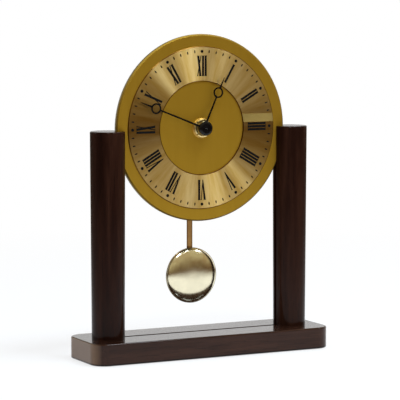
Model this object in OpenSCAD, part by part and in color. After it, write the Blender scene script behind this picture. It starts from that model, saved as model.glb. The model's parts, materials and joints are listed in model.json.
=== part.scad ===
// Desk pendulum clock: a gold disc dial held between two round wooden posts on a wooden base,
// with a battery pendulum movement behind the dial.
// Millimetres. X runs along the base, Y goes away from the viewer, Z is up.
// The origin is on the table under the middle of the base.

/* [Base] */
// Distance from a post's axis to the end of the base
base_end = 19; // [14:0.5:40]
// Depth of the base from front to back
base_depth = 48; // [44:1:80]
// Thickness of the wooden base
base_thickness = 14; // [11:0.5:24]
// Radius of the base's upright corners
base_corner = 10; // [6:0.5:14]
// Radius of the softened top edge of the base
base_top_edge = 0.9; // [0.3:0.1:2]
// Radius of the softened bottom edge of the base
base_bottom_edge = 0.8; // [0.3:0.1:2.5]
// Depth of the groove along the top of the base
base_groove_depth = 2; // [1:0.5:4]
// Thickness of the felt pads
pad_thickness = 0.5; // [0.5:0.5:3]
// Diameter of the felt pads
pad_d = 12; // [8:1:14]

/* [Posts] */
// Height of the posts above the base
post_height = 132.3; // [105:0.1:180]
// Diameter of a post at its top
post_top_d = 22.4; // [18:0.2:30]
// Diameter of a post at its foot
post_foot_d = 21.2; // [18:0.2:30]
// Distance from the floor of the dial groove to the post's axis
post_web = 5.35; // [4.5:0.05:7.5]
// Radius of the softened edge at the top of a post
post_edge = 0.7; // [0.3:0.1:1.5]

/* [Dial] */
// Diameter of the dial plate
dial_d = 121; // [100:1:160]
// Thickness of the dial plate
dial_t = 3; // [2:0.1:5]
// Bevel around the front of the dial plate
dial_bevel = 0.9; // [0.2:0.1:1]
// Height of the dial's centre above the tops of the posts
dial_rise = 0.3; // [0:0.1:6]
// Outer radius of the chapter ring
ring_r = 52.65; // [45:0.05:54]
// Inner radius of the chapter ring
ring_inner_r = 30.1; // [22:0.1:34]
// Thickness of the chapter ring
ring_t = 0.6; // [0.4:0.1:1]
// Height of the plain strip above the three o'clock line
strip_low = 3; // [3:0.1:6]
// Width of the plain strip
strip_w = 5.4; // [3:0.1:6]

/* [Hands] */
// Angle of the minute hand, clockwise from twelve
minute_angle = 291.3; // [0:0.1:360]
// Angle of the hour hand, clockwise from twelve
hour_angle = 24.275; // [0:0.005:360]
// Distance from the centre to the middle of the minute hand's eye
minute_eye = 37.5; // [30:0.5:45]
// Length of the minute hand
minute_length = 49.2; // [45:0.1:55]
// Distance from the centre to the middle of the hour hand's eye
hour_eye = 25; // [20:0.5:28]
// Length of the hour hand
hour_length = 35.6; // [30:0.1:40]
// Outer diameter of the hands' eyes
eye_d = 7; // [5:0.1:8]
// Diameter of the cap over the centre
cap_d = 9.4; // [8:0.1:12]

/* [Pendulum] */
// Diameter of the bob
bob_d = 36.5; // [28:0.5:44]
// Gap between the bob and the base
bob_gap = 16.7; // [8:0.1:24]
// Bulge of the bob's front
bob_front = 4.6; // [2:0.1:7]
// Bulge of the bob's back
bob_back = 2; // [1:0.1:3]
// Width of the pendulum rod
rod_w = 4; // [3:0.1:6]

/* [Movement] */
// Outer diameter of the threaded centre bush
bush_d = 8; // [7:0.1:10]
// Outer diameter of the hour pipe
pipe_d = 5; // [4.5:0.1:5.6]
// Diameter of the minute arbor in front of its pinion
arbor_d = 3; // [2.4:0.1:3.2]
// Distance between the hand axis and the minute wheel's axis
motion_distance = 12; // [11:0.1:13]
// Tooth module of the going train
train_module = 0.25; // [0.24:0.01:0.26]
// Diameter of the battery cell
cell_d = 14.5; // [12:0.1:17.4]
// Length of the battery cell without its nub
cell_l = 49.2; // [44:0.1:49.4]
// Free length of the battery's conical spring when the cell is in
spring_l = 1.7; // [1.5:0.1:4]
// Wall of the movement case
case_wall = 1.5; // [1.2:0.1:2]

/* [Hidden] */
$fn = 96;

// Clearances
running = 0.05; // radial, a shaft that turns in a hole
fixed = 0.02; // radial, a pin that is pressed or glued in
slip = 0.1; // each side of the dial plate in its groove
groove_end = 0.15; // dial edge to groove floor
air = 0.6; // between neighbouring wheels

// Heights
base_top = pad_thickness + base_thickness;
post_top = base_top + post_height;
dial_z = post_top + dial_rise;

// Places along the base
groove_floor = dial_d / 2 + groove_end;
post_x = groove_floor + post_web;
base_length = 2 * (post_x + base_end);
groove_w = dial_t + 2 * slip;

// Fastenings of the wooden stand
post_screw_d = 4;
post_screw_head_d = 7.5;
post_screw_head_h = 2.6;
post_screw_sink = 2.5;
post_screw_bite = 24;
dowel_d = 5;
dowel_half = 8;
dowel_y = 5.9;
pad_inset = 13;
dial_screw_d = 1.6;
dial_screw_head_d = 2.8;
dial_screw_head_h = 1.2;
dial_screw_x = groove_floor - 2.15;
dial_screw_drop = 6;
dial_screw_lip = 2.7;

// Layers from the dial backwards
dial_back = dial_t / 2;
dial_front = -dial_t / 2;
gasket_t = 0.5;
case_y = dial_back + gasket_t;
floor_y = case_y + case_wall;
wheel_t = 0.8;
motion_t = 1;
hour_y = floor_y + 0.5;
minute_y = hour_y + motion_t + air;
plate_t = 1.2;
plate_y = minute_y + motion_t + air;
plate_back = plate_y + plate_t;
centre_y = plate_back + air;
third_y = centre_y + wheel_t + air;
seconds_y = third_y + wheel_t + air;
intermediate_y = seconds_y + wheel_t + air;
magnet_y = intermediate_y + wheel_t + 0.4;
magnet_t = 2;
cover_y = magnet_y + magnet_t + 1.1;
cover_back = cover_y + case_wall;

// Stack in front of the dial
washer_t = 0.4;
nut_t = 2;
nut_d = 12.6;
washer_d = 13.2;
nut_front = dial_front - washer_t - nut_t;
bush_end = nut_front - 0.4;
hand_t = 0.4;
collet_t = 0.5;
hour_hand_y = bush_end - 0.2 - collet_t - hand_t;
pipe_end = hour_hand_y - 0.2;
minute_hand_y = pipe_end - 0.9 - hand_t;
arbor_end = minute_hand_y - 0.4;
cap_t = 2.1;
cap_y = minute_hand_y - cap_t;

// Hands
eye_wire = 1;
arm_root_w = 1.3;
arm_tip_w = 0.95;
spike_w = 1.3;
spike_tip_w = 0.3;

// Teeth of the motion work
cannon_teeth = 16;
minute_teeth = 48;
minute_pinion_teeth = 12;
hour_teeth = 48;
knob_teeth = 24;
cannon_module = 2 * motion_distance / (cannon_teeth + minute_teeth);
hour_module = 2 * motion_distance / (minute_pinion_teeth + hour_teeth);

// Teeth of the going train
centre_teeth = 60;
third_pinion_teeth = 8;
third_teeth = 64;
seconds_pinion_teeth = 8;
seconds_teeth = 60;
intermediate_pinion_teeth = 15;
intermediate_teeth = 60;
rotor_teeth = 8;

// Directions from one axis to the next, anticlockwise from the right as seen from the front
cannon_to_minute = 120;
minute_to_knob = 200;
centre_to_third = 30;
third_to_seconds = 90;
seconds_to_intermediate = 180;
intermediate_to_rotor = 180;

function step(from, length, dir) = from + length * [cos(dir), sin(dir)];
function distance(m, a, b) = m * (a + b) / 2;
function mesh(a, phase, b, dir) = dir + 180 - 180 / b - (phase - dir) * a / b;

// Axes of the wheels, from the hand axis
axis = [0, 0];
minute_axis = step(axis, motion_distance, cannon_to_minute);
knob_axis = step(minute_axis, distance(cannon_module, minute_teeth, knob_teeth), minute_to_knob);
third_axis = step(axis, distance(train_module, centre_teeth, third_pinion_teeth), centre_to_third);
seconds_axis =
    step(third_axis, distance(train_module, third_teeth, seconds_pinion_teeth), third_to_seconds);
intermediate_axis = step(
    seconds_axis,
    distance(train_module, seconds_teeth, intermediate_pinion_teeth),
    seconds_to_intermediate
);
rotor_axis = step(
    intermediate_axis,
    distance(train_module, intermediate_teeth, rotor_teeth),
    intermediate_to_rotor
);

// Where a tooth of each wheel points at rest
minute_phase = mesh(cannon_teeth, 0, minute_teeth, cannon_to_minute);
minute_pinion_phase = mesh(hour_teeth, 0, minute_pinion_teeth, cannon_to_minute);
knob_phase = mesh(minute_teeth, minute_phase, knob_teeth, minute_to_knob);
third_pinion_phase = mesh(centre_teeth, 0, third_pinion_teeth, centre_to_third);
seconds_pinion_phase = mesh(third_teeth, 0, seconds_pinion_teeth, third_to_seconds);
intermediate_pinion_phase =
    mesh(seconds_teeth, 0, intermediate_pinion_teeth, seconds_to_intermediate);
rotor_phase = mesh(intermediate_teeth, 0, rotor_teeth, intermediate_to_rotor);

// Tooth form
pressure_angle = 20;
tooth_tip = 0.8;
tooth_root = 1.15;
tooth_play = 0.2;

// Arbors and pivots of the train
train_arbor_d = 1.2;
pivot_d = 0.8;
pivot_l = 0.9;
clutch_d = 1.8;
clutch_collar_d = 2.6;
knob_shaft_d = 3;
knob_d = 11;
knob_t = 4;
knob_gap = 0.4;

// Motor
motor_y = magnet_y + 0.4;
lamination = 0.8;
core_y = motor_y - lamination;
core_w = 1.8;
coil_half_z = 2.1;
coil_half_y = 2;
coil_gap = 0.55;
coil_z = seconds_axis[1] + tip_r(seconds_teeth, train_module) + coil_gap + 0.2 + coil_half_z;
motor_left = rotor_axis[0] - 6;
motor_right = seconds_axis[0] + 2.64;
leg_w = 4;
coil_left = motor_left + leg_w + 0.6;
coil_right = motor_right - leg_w - 0.6;
coil_flange = 0.8;

// Battery bay, under the train
bay_gap = 0.6;
bay_floor = 0.8;
divider = 1;
wheel_room = 0.48;
bay_top = -tip_r(hour_teeth, hour_module) - wheel_room - divider;
bay_bottom = bay_top - cell_d - 2 * bay_gap;
bay_z = bay_top - bay_gap - cell_d / 2;
bay_y = case_y + bay_floor + 0.2 + cell_d / 2;
contact_t = 0.4;
contact_space = 0.5;
nub_l = 1;
nub_d = 5.5;
nub_gap = 0.05;

// Inside of the case: wide enough for the cell and for the setting gear, high enough for the motor coil
cell_half = (cell_l + nub_l + 2 * nub_gap + spring_l) / 2 + contact_space;
gear_half = tip_r(knob_teeth, cannon_module) - knob_axis[0] + 2 * wheel_room;
inner_half = max(cell_half, gear_half);
inner_top = coil_z + coil_half_z + 0.2 + 0.4;
case_half = inner_half + case_wall;
case_top = inner_top + case_wall;
contact_x = inner_half - contact_space;
cell_right = contact_x - nub_gap - nub_l;
cell_left = cell_right - cell_l;

// Columns that carry the middle plate and take the cover screws
case_corner = 4;
column_d = 4.4;
column_foot_d = 6;
upper_column = [case_half - 4.2, case_top - 4.2];
lower_column = [case_half - 7.5, bay_top + divider + 2.8];
cover_screw_d = 2;
cover_screw_head_d = 3.8;
cover_screw_head_h = 1.3;
cover_screw_bite = 6;

// Pendulum drive, under the battery bay
drive_top = bay_bottom - case_wall;
pivot_drop = 4.4;
pivot_z = drive_top - pivot_drop;
coil_drop = 9;
drive_coil_z = pivot_z - coil_drop;
drive_half = 15;
drive_floor = drive_coil_z - 6.5;
drive_bottom = drive_floor - case_wall;
pin_d = 1.2;
pin_boss_d = 4;
hub_d = 5;
hub_y = cover_y - 4.5;
hub_back = cover_y - 0.5;
arm_w = 5;
arm_y = cover_y - 3.5;
arm_t = 2.6;
hanger_magnet_d = 6;
drive_coil_d = 11;
drive_core_d = 3;
drive_coil_t = 3.6;
drive_air = 0.8;
mouth_half = 6;
hook_l = 7;
peg_d = 1.6;
rod_t = 0.4;
rod_y = cover_y - 1.7;
peg_z = drive_bottom - hook_l + 2.4;

// Bob
bob_z = base_top + bob_gap + bob_d / 2;
shell_t = 0.5;
bob_flange = 0.5;
bob_dome_r = bob_d / 2 - bob_flange;
bob_back_y = rod_y;
bob_seam_y = bob_back_y - bob_back - shell_t;
rivet_d = 2;

// Circuit board
board_y = motor_y + 0.2;
board_t = 0.8;
board_left = motor_right + 1.5;
board_right = inner_half - 0.7;
board_low = lower_column[1] + column_d / 2 + 0.6;
board_high = upper_column[1] - column_d / 2 - 1.1;

// Flat piece drawn in X and Z, its front face at y0
module slab(y0, t) {
    translate([0, y0 + t, 0])
        rotate([90, 0, 0])
            linear_extrude(t)
                children();
}

// Round bar along Y, from y0 backwards
module bar(y0, l, d, at = [0, 0]) {
    translate([at[0], y0, at[1]])
        rotate([-90, 0, 0])
            cylinder(h = l, d = d);
}

// Block from one corner to the opposite one
module block(low, high) {
    translate(low)
        cube(high - low);
}

// Solid turned about the Y axis from a half outline of radius and y
module turned(points) {
    rotate([-90, 0, 0])
        rotate_extrude($fn = 180)
            polygon(points);
}

// Places children at the hand axis
module at_dial() {
    translate([0, 0, dial_z])
        children();
}

// Places children at both posts
module at_posts() {
    for (side = [-1, 1])
        translate([side * post_x, 0, 0])
            children();
}

function arc(centre, r, from, to, n = 8) =
    [for (i = [0:n]) centre + r * [cos(from + (to - from) * i / n), sin(from + (to - from) * i / n)]];

// Gear teeth
function involute(a) = tan(a) - a * PI / 180;
function tooth_half(z, m) = 90 / z - tooth_play * m / 2 / (m * z / 2) * 180 / PI;
function base_r(z, m) = m * z / 2 * cos(pressure_angle);
function flank(z, m, r) =
    tooth_half(z, m) + involute(pressure_angle) * 180 / PI
    - (r <= base_r(z, m) ? 0 : involute(acos(base_r(z, m) / r)) * 180 / PI);
function polar(r, a) = [r * cos(a), r * sin(a)];
function root_r(z, m) = m * z / 2 - tooth_root * m;
function tip_r(z, m) = m * z / 2 + tooth_tip * m;
function flank_start(z, m) = max(base_r(z, m), root_r(z, m) + 0.01);
function tooth_radii(z, m) = [
    root_r(z, m),
    flank_start(z, m),
    (flank_start(z, m) + tip_r(z, m)) / 2,
    tip_r(z, m)
];

module gear_outline(z, m, phase) {
    radii = tooth_radii(z, m);
    polygon([
        for (k = [0:z - 1])
            for (side = [-1, 1])
                for (i = [0:3])
                    let (r = radii[side < 0 ? i : 3 - i])
                        polar(r, phase + 360 * k / z + side * flank(z, m, r))
    ]);
}

module gear(z, m, phase, y0, t, at = axis) {
    translate([at[0], 0, at[1]])
        slab(y0, t)
            gear_outline(z, m, phase);
}

// Wooden base
module plinth_section(half) {
    polygon(concat(
        [[0, pad_thickness]],
        arc([half - base_bottom_edge, pad_thickness + base_bottom_edge], base_bottom_edge, -90, 0),
        arc([half - base_top_edge, base_top - base_top_edge], base_top_edge, 0, 90),
        [[0, base_top]]
    ));
}

module plinth_bar(half, run) {
    rotate([90, 0, 90])
        translate([0, 0, -run])
            linear_extrude(2 * run) {
                plinth_section(half);
                mirror([1, 0])
                    plinth_section(half);
            }
}

module plinth_solid() {
    long = base_length / 2;
    deep = base_depth / 2;
    plinth_bar(deep, long - base_corner);
    rotate([0, 0, 90])
        plinth_bar(long, deep - base_corner);
    for (x = [-1, 1])
        for (y = [-1, 1])
            translate([x * (long - base_corner), y * (deep - base_corner), 0])
                rotate_extrude()
                    plinth_section(base_corner);
}

module base_plinth() {
    color("#2e1c16")
        difference() {
            plinth_solid();
            translate([-groove_floor, -groove_w / 2, base_top - base_groove_depth])
                cube([2 * groove_floor, groove_w, base_groove_depth + 1]);
            at_posts() {
                translate([0, 0, -1])
                    cylinder(h = base_top + 2, d = post_screw_d + 0.4);
                translate([0, 0, pad_thickness - 1])
                    cylinder(h = 1 + post_screw_sink + post_screw_head_h, d = post_screw_head_d + 1);
                translate([0, dowel_y, base_top - dowel_half])
                    cylinder(h = dowel_half + 1, d = dowel_d + 2 * fixed);
            }
        }
}

// Round post with its dial groove towards the middle
module post(side) {
    top_r = post_top_d / 2;
    edge = post_edge;
    screw_top = pad_thickness + post_screw_sink + post_screw_head_h + post_screw_bite;
    difference() {
        translate([side * post_x, 0, base_top])
            rotate_extrude()
                polygon(concat(
                    [[0, 0], [post_foot_d / 2, 0]],
                    arc([top_r - edge, post_height - edge], edge, 0, 90),
                    [[0, post_height]]
                ));
        translate([side * groove_floor, 0, base_top - 1])
            mirror([side > 0 ? 1 : 0, 0, 0])
                translate([0, -groove_w / 2, 0])
                    cube([post_top_d, groove_w, post_height + 2]);
        translate([side * post_x, 0, base_top - 1])
            cylinder(h = screw_top - base_top + 2, d = post_screw_d + 2 * fixed);
        translate([side * post_x, dowel_y, base_top - 1])
            cylinder(h = dowel_half + 1, d = dowel_d + 2 * fixed);
        bar(0, post_top_d, dial_screw_d + 2 * fixed, dial_screw_place(side));
        bar(
            groove_w / 2 + dial_screw_lip,
            post_top_d,
            dial_screw_head_d + 0.3,
            dial_screw_place(side)
        );
    }
}

function dial_screw_place(side) = [side * dial_screw_x, dial_z - dial_screw_drop];

module left_post() {
    color("#2b1a15")
        post(-1);
}

module right_post() {
    color("#2b1a15")
        post(1);
}

// Cross recess in a screw head, opening along Z from the given depth
module cross_recess(size, depth) {
    for (turn = [0, 90])
        rotate([0, 0, turn])
            translate([-size / 2, -size / 8, 0])
                cube([size, size / 4, depth]);
}

module post_screws() {
    head_low = pad_thickness + post_screw_sink;
    color("silver")
        at_posts()
            difference() {
                union() {
                    translate([0, 0, head_low])
                        cylinder(h = post_screw_head_h, d = post_screw_head_d);
                    translate([0, 0, head_low + post_screw_head_h])
                        cylinder(h = post_screw_bite, d = post_screw_d);
                }
                translate([0, 0, head_low - 1])
                    cross_recess(post_screw_head_d * 0.6, 2.4);
            }
}

module post_dowels() {
    color("burlywood")
        at_posts()
            translate([0, dowel_y, base_top - dowel_half + 0.5])
                cylinder(h = 2 * dowel_half - 1, d = dowel_d);
}

module felt_pads() {
    color("#202020")
        for (x = [-1, 1])
            for (y = [-1, 1])
                translate([
                    x * (base_length / 2 - pad_inset),
                    y * (base_depth / 2 - pad_inset + 2),
                    0
                ])
                    cylinder(h = pad_thickness, d = pad_d);
}

// Dial
module dial_plate() {
    r = dial_d / 2;
    hole_r = bush_d / 2 + slip;
    rear = dial_bevel / 3;
    color("#a07a22")
        difference() {
            at_dial()
                turned([
                    [hole_r, dial_front],
                    [r - dial_bevel, dial_front],
                    [r, dial_front + dial_bevel],
                    [r, dial_back - rear],
                    [r - rear, dial_back],
                    [hole_r, dial_back]
                ]);
            for (side = [-1, 1])
                bar(-dial_t / 6, dial_t, dial_screw_d + 2 * fixed, dial_screw_place(side));
        }
}

module chapter_ring() {
    front = dial_front - ring_t;
    edge = ring_t * 0.75;
    color("#d9b872")
        at_dial()
            turned([
                [ring_inner_r, front],
                [ring_r - edge, front],
                [ring_r, front + edge],
                [ring_r, dial_front],
                [ring_inner_r, dial_front]
            ]);
}

module name_strip() {
    inset = 0.25;
    color("#b99a4a")
        at_dial()
            slab(dial_front - ring_t - 0.25, 0.25)
                intersection() {
                    difference() {
                        circle(ring_r - ring_t * 0.75 - inset / 2);
                        circle(ring_inner_r + inset);
                    }
                    translate([0, strip_low])
                        square([ring_r, strip_w]);
                }
}

module dial_screws() {
    head_y = groove_w / 2 + dial_screw_lip;
    shank_y = 0.2 - dial_t / 6;
    color("goldenrod")
        for (side = [-1, 1])
            difference() {
                union() {
                    bar(shank_y, head_y - shank_y, dial_screw_d, dial_screw_place(side));
                    bar(head_y, dial_screw_head_h, dial_screw_head_d, dial_screw_place(side));
                }
                translate([
                    dial_screw_place(side)[0],
                    head_y + dial_screw_head_h + 1,
                    dial_screw_place(side)[1]
                ])
                    rotate([90, 0, 0])
                        cross_recess(dial_screw_head_d * 0.7, 1.6);
            }
}

module dial_gasket() {
    color("#181818")
        at_dial()
            slab(dial_back, gasket_t)
                difference() {
                    circle(d = bush_d + 12);
                    circle(d = bush_d + 2 * slip);
                }
}

module nut_washer() {
    color("#c9a23a")
        at_dial()
            slab(dial_front - washer_t, washer_t)
                difference() {
                    circle(d = washer_d);
                    circle(d = bush_d + 2 * slip);
                }
}

module dial_nut() {
    r = nut_d / 2;
    hole_r = bush_d / 2 + fixed;
    back = dial_front - washer_t;
    color("#d8b548")
        at_dial()
            difference() {
                turned([
                    [hole_r, nut_front],
                    [r - 1, nut_front],
                    [r - 0.4, nut_front + 0.25],
                    [r, nut_front + 0.9],
                    [r, back - 0.2],
                    [r - 0.2, back],
                    [hole_r, back]
                ]);
                for (turn = [45, 135])
                    rotate([0, turn, 0])
                        block([-nut_d, nut_front - 1, -0.45], [nut_d, nut_front + 0.6, 0.45]);
            }
}

// Hands
module hand_outline(eye, length, hub_d) {
    circle(d = hub_d);
    polygon([
        [-arm_root_w / 2, 0],
        [-arm_tip_w / 2, eye - eye_d / 2 + 0.4],
        [arm_tip_w / 2, eye - eye_d / 2 + 0.4],
        [arm_root_w / 2, 0]
    ]);
    translate([0, eye])
        difference() {
            circle(d = eye_d);
            circle(d = eye_d - 2 * eye_wire);
        }
    polygon([
        [-spike_w / 2, eye + eye_d / 2 - 0.4],
        [-spike_tip_w / 2, length],
        [spike_tip_w / 2, length],
        [spike_w / 2, eye + eye_d / 2 - 0.4]
    ]);
}

module hour_hand() {
    bore = pipe_d + 2 * fixed;
    color("#141414")
        at_dial() {
            slab(hour_hand_y, hand_t)
                difference() {
                    rotate(-hour_angle)
                        hand_outline(hour_eye, hour_length, pipe_d + 2.6);
                    circle(d = bore);
                }
            slab(hour_hand_y + hand_t, collet_t)
                difference() {
                    circle(d = pipe_d + 1.2);
                    circle(d = bore);
                }
        }
}

module minute_hand() {
    bore = arbor_d + 2 * fixed;
    color("#141414")
        at_dial() {
            slab(minute_hand_y, hand_t)
                difference() {
                    rotate(-minute_angle)
                        hand_outline(minute_eye, minute_length, arbor_d + 3.6);
                    circle(d = bore);
                }
            slab(minute_hand_y + hand_t, collet_t)
                difference() {
                    circle(d = arbor_d + 1.6);
                    circle(d = bore);
                }
        }
}

module hand_cap() {
    r = cap_d / 2;
    bore_r = arbor_d / 2 + fixed;
    color("#0c0c0c")
        at_dial()
            turned(concat(
                [[0, cap_y], [r * 0.7, cap_y + 0.12]],
                [[r * 0.9, cap_y + 0.45], [r, cap_y + 0.95]],
                [[r, minute_hand_y], [bore_r, minute_hand_y]],
                [[bore_r, arbor_end - 0.2], [0, arbor_end - 0.2]]
            ));
}

// Movement case
module case_outline() {
    height = case_top - drive_top;
    for (x = [-1, 1])
        for (z = [drive_top + case_corner, case_top - case_corner])
            translate([x * (case_half - case_corner), z])
                circle(case_corner);
    translate([case_corner - case_half, drive_top])
        square([2 * (case_half - case_corner), height]);
    translate([-case_half, drive_top + case_corner])
        square([2 * case_half, height - 2 * case_corner]);
}

module column_places() {
    for (x = [-1, 1])
        for (place = [upper_column, lower_column])
            translate([x * place[0], 0, place[1]])
                children();
}

module movement_case() {
    depth = cover_y - case_y;
    past = cover_y + 1;
    color("#1c1c1e")
        at_dial()
            difference() {
                union() {
                    difference() {
                        union() {
                            slab(case_y, depth)
                                case_outline();
                            block(
                                [-drive_half, case_y, drive_bottom],
                                [drive_half, cover_y, drive_top + case_wall]
                            );
                        }
                        block(
                            [-inner_half, floor_y, bay_top + divider],
                            [inner_half, past, inner_top]
                        );
                        block(
                            [-inner_half, case_y + bay_floor, bay_bottom],
                            [inner_half, past, bay_top]
                        );
                        block(
                            [case_wall - drive_half, floor_y, drive_floor],
                            [drive_half - case_wall, past, drive_top]
                        );
                        block(
                            [-mouth_half, hub_y - 0.5, drive_bottom - 1],
                            [mouth_half, past, drive_floor + 1]
                        );
                    }
                    column_places() {
                        bar(floor_y, plate_y - floor_y, column_foot_d);
                        bar(floor_y, cover_y - floor_y, column_d);
                    }
                    bar(case_y, hub_y - 1 - case_y, pin_boss_d, [0, pivot_z]);
                    bar(case_y, arm_y - drive_air - case_y, drive_core_d, [0, drive_coil_z]);
                    for (x = [-1, 1])
                        bar(case_y, cover_y - case_y, column_d, drive_screw_place(x));
                }
                bar(case_y - 1, depth, bush_d + 2 * fixed);
                bar(floor_y - 0.7, depth, bush_d + 3 + 2 * fixed);
                bar(floor_y - pivot_l, pivot_l + 0.1, pivot_d + 2 * running, minute_axis);
                bar(floor_y - pivot_l, pivot_l + 0.1, pivot_d + 2 * running, knob_axis);
                bar(floor_y - pivot_l, depth, pin_d + 2 * fixed, [0, pivot_z]);
                column_places()
                    bar(cover_y - cover_screw_bite, cover_screw_bite + 1, cover_screw_d + 2 * fixed);
                for (x = [-1, 1])
                    bar(
                        cover_y - cover_screw_bite,
                        cover_screw_bite + 1,
                        cover_screw_d + 2 * fixed,
                        drive_screw_place(x)
                    );
                contact_slots();
            }
}

function drive_screw_place(x) = [x * (drive_half - 3.2), drive_top - 3.4];

// Openings in the wall above the battery for the legs of the contacts
module contact_slots() {
    for (x = [contact_x + contact_t / 2, -contact_x - contact_t / 2])
        block(
            [x - 0.5, board_y - 2, bay_top - 1],
            [x + 0.5, board_y + 0.3, bay_top + divider + 1]
        );
}

// Cover over the train, with the bearings of the rear pivots
module back_cover() {
    low = bay_top + divider / 2;
    color("#222225")
        at_dial()
            difference() {
                union() {
                    slab(cover_y, case_wall)
                        intersection() {
                            case_outline();
                            translate([-case_half, low])
                                square([2 * case_half, case_top - low]);
                        }
                    for (place = [[board_left + 3, board_low + 2.3], [board_right - 3, board_high - 2.3]])
                        bar(board_y + board_t, cover_y - board_y - board_t, 2.4, place);
                }
                for (place = [third_axis, seconds_axis, intermediate_axis, rotor_axis])
                    bar(cover_y - 1, 1 + pivot_l, pivot_d + 2 * running, place);
                bar(cover_y - 1, case_wall + 2, knob_shaft_d + 2 * running, knob_axis);
                column_places()
                    bar(cover_y - 1, case_wall + 2, cover_screw_d + 0.4);
            }
}

module pendulum_cover() {
    color("#222225")
        at_dial()
            difference() {
                block(
                    [-drive_half, cover_y, drive_bottom],
                    [drive_half, cover_back, drive_top + case_wall]
                );
                bar(cover_y - 1, 1 + pivot_l, pin_d + 2 * fixed, [0, pivot_z]);
                for (x = [-1, 1])
                    bar(cover_y - 1, case_wall + 2, cover_screw_d + 0.4, drive_screw_place(x));
            }
}

module cover_screw() {
    shank = cover_screw_bite + case_wall - 0.5;
    difference() {
        union() {
            bar(cover_back - shank, shank, cover_screw_d);
            bar(cover_back, cover_screw_head_h, cover_screw_head_d);
        }
        translate([0, cover_back + cover_screw_head_h + 1, 0])
            rotate([90, 0, 0])
                cross_recess(cover_screw_head_d * 0.6, 1.7);
    }
}

module cover_screws() {
    color("silver")
        at_dial() {
            column_places()
                cover_screw();
            for (x = [-1, 1])
                translate([drive_screw_place(x)[0], 0, drive_screw_place(x)[1]])
                    cover_screw();
        }
}

module centre_bush() {
    color("#c79a3b")
        at_dial()
            difference() {
                union() {
                    bar(bush_end, floor_y - bush_end, bush_d);
                    bar(floor_y - 0.7, 0.7, bush_d + 3);
                }
                bar(bush_end - 1, floor_y - bush_end + 2, pipe_d + 2 * running);
            }
}

// Plate between the motion work and the going train
module middle_plate() {
    edge = 0.3;
    color("#d8d4c8")
        at_dial()
            difference() {
                block(
                    [edge - inner_half, plate_y, bay_top + divider + edge],
                    [inner_half - edge, plate_back, inner_top - edge]
                );
                column_places()
                    bar(plate_y - 1, plate_t + 2, column_d + 0.2);
                bar(plate_y - 1, plate_t + 2, clutch_d + 2 * running);
                bar(plate_y - 1, plate_t + 2, knob_shaft_d + 2 * running, knob_axis);
                bar(plate_y - 1, 1 + pivot_l, pivot_d + 2 * running, minute_axis);
                for (place = [third_axis, seconds_axis, intermediate_axis, rotor_axis])
                    bar(plate_back - pivot_l, pivot_l + 1, pivot_d + 2 * running, place);
            }
}

// Motion work
module minute_arbor() {
    color("#d9d9d9")
        at_dial() {
            bar(arbor_end, minute_y - arbor_end + 0.1, arbor_d);
            gear(cannon_teeth, cannon_module, 0, minute_y, motion_t);
            bar(minute_y + motion_t - 0.1, centre_y + wheel_t + 0.3 - minute_y - motion_t, clutch_d);
            bar(centre_y + wheel_t + 0.15, 0.25, clutch_collar_d);
        }
}

module minute_wheel() {
    color("#f0ece0")
        at_dial() {
            gear(minute_teeth, cannon_module, minute_phase, minute_y, motion_t, minute_axis);
            gear(
                minute_pinion_teeth,
                hour_module,
                minute_pinion_phase,
                hour_y - 0.1,
                minute_y - hour_y + 0.2,
                minute_axis
            );
            bar(floor_y - pivot_l + 0.1, plate_y - floor_y + 2 * pivot_l - 0.2, pivot_d, minute_axis);
        }
}

module hour_wheel() {
    color("#f0ece0")
        at_dial()
            difference() {
                union() {
                    gear(hour_teeth, hour_module, 0, hour_y, motion_t);
                    bar(pipe_end, hour_y - pipe_end + 0.1, pipe_d);
                }
                bar(pipe_end - 1, hour_y - pipe_end + motion_t + 2, arbor_d + 2 * running);
            }
}

module set_knob() {
    head_y = cover_back + knob_gap;
    ribs = 24;
    color("#e9e6da")
        at_dial() {
            gear(knob_teeth, cannon_module, knob_phase, minute_y, motion_t, knob_axis);
            bar(floor_y - pivot_l + 0.1, minute_y - floor_y + pivot_l, pivot_d, knob_axis);
            bar(minute_y + motion_t - 0.1, head_y - minute_y - motion_t + 0.2, knob_shaft_d, knob_axis);
            translate([knob_axis[0], 0, knob_axis[1]])
                slab(head_y, knob_t)
                    difference() {
                        circle(d = knob_d);
                        for (k = [0:ribs - 1])
                            rotate(360 * k / ribs)
                                translate([knob_d / 2 + 0.2, 0])
                                    circle(0.5, $fn = 24);
                    }
        }
}

// Going train
module train_arbor(place) {
    bar(plate_back + 0.2, cover_y - plate_back - 0.4, train_arbor_d, place);
    bar(plate_back - pivot_l + 0.1, cover_y - plate_back + 2 * pivot_l - 0.2, pivot_d, place);
}

module centre_wheel() {
    color("#f2efe6")
        at_dial()
            difference() {
                gear(centre_teeth, train_module, 0, centre_y, wheel_t);
                bar(centre_y - 1, wheel_t + 2, clutch_d + 2 * running);
            }
}

module third_wheel() {
    color("#f2efe6")
        at_dial() {
            gear(third_teeth, train_module, 0, third_y, wheel_t, third_axis);
            gear(
                third_pinion_teeth,
                train_module,
                third_pinion_phase,
                centre_y - 0.2,
                third_y - centre_y + 0.3,
                third_axis
            );
            train_arbor(third_axis);
        }
}

module seconds_wheel() {
    color("#f2efe6")
        at_dial() {
            gear(seconds_teeth, train_module, 0, seconds_y, wheel_t, seconds_axis);
            gear(
                seconds_pinion_teeth,
                train_module,
                seconds_pinion_phase,
                third_y - 0.2,
                seconds_y - third_y + 0.3,
                seconds_axis
            );
            train_arbor(seconds_axis);
        }
}

module intermediate_wheel() {
    color("#f2efe6")
        at_dial() {
            gear(intermediate_teeth, train_module, 0, intermediate_y, wheel_t, intermediate_axis);
            gear(
                intermediate_pinion_teeth,
                train_module,
                intermediate_pinion_phase,
                seconds_y - 0.2,
                intermediate_y - seconds_y + 0.3,
                intermediate_axis
            );
            train_arbor(intermediate_axis);
        }
}

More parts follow.
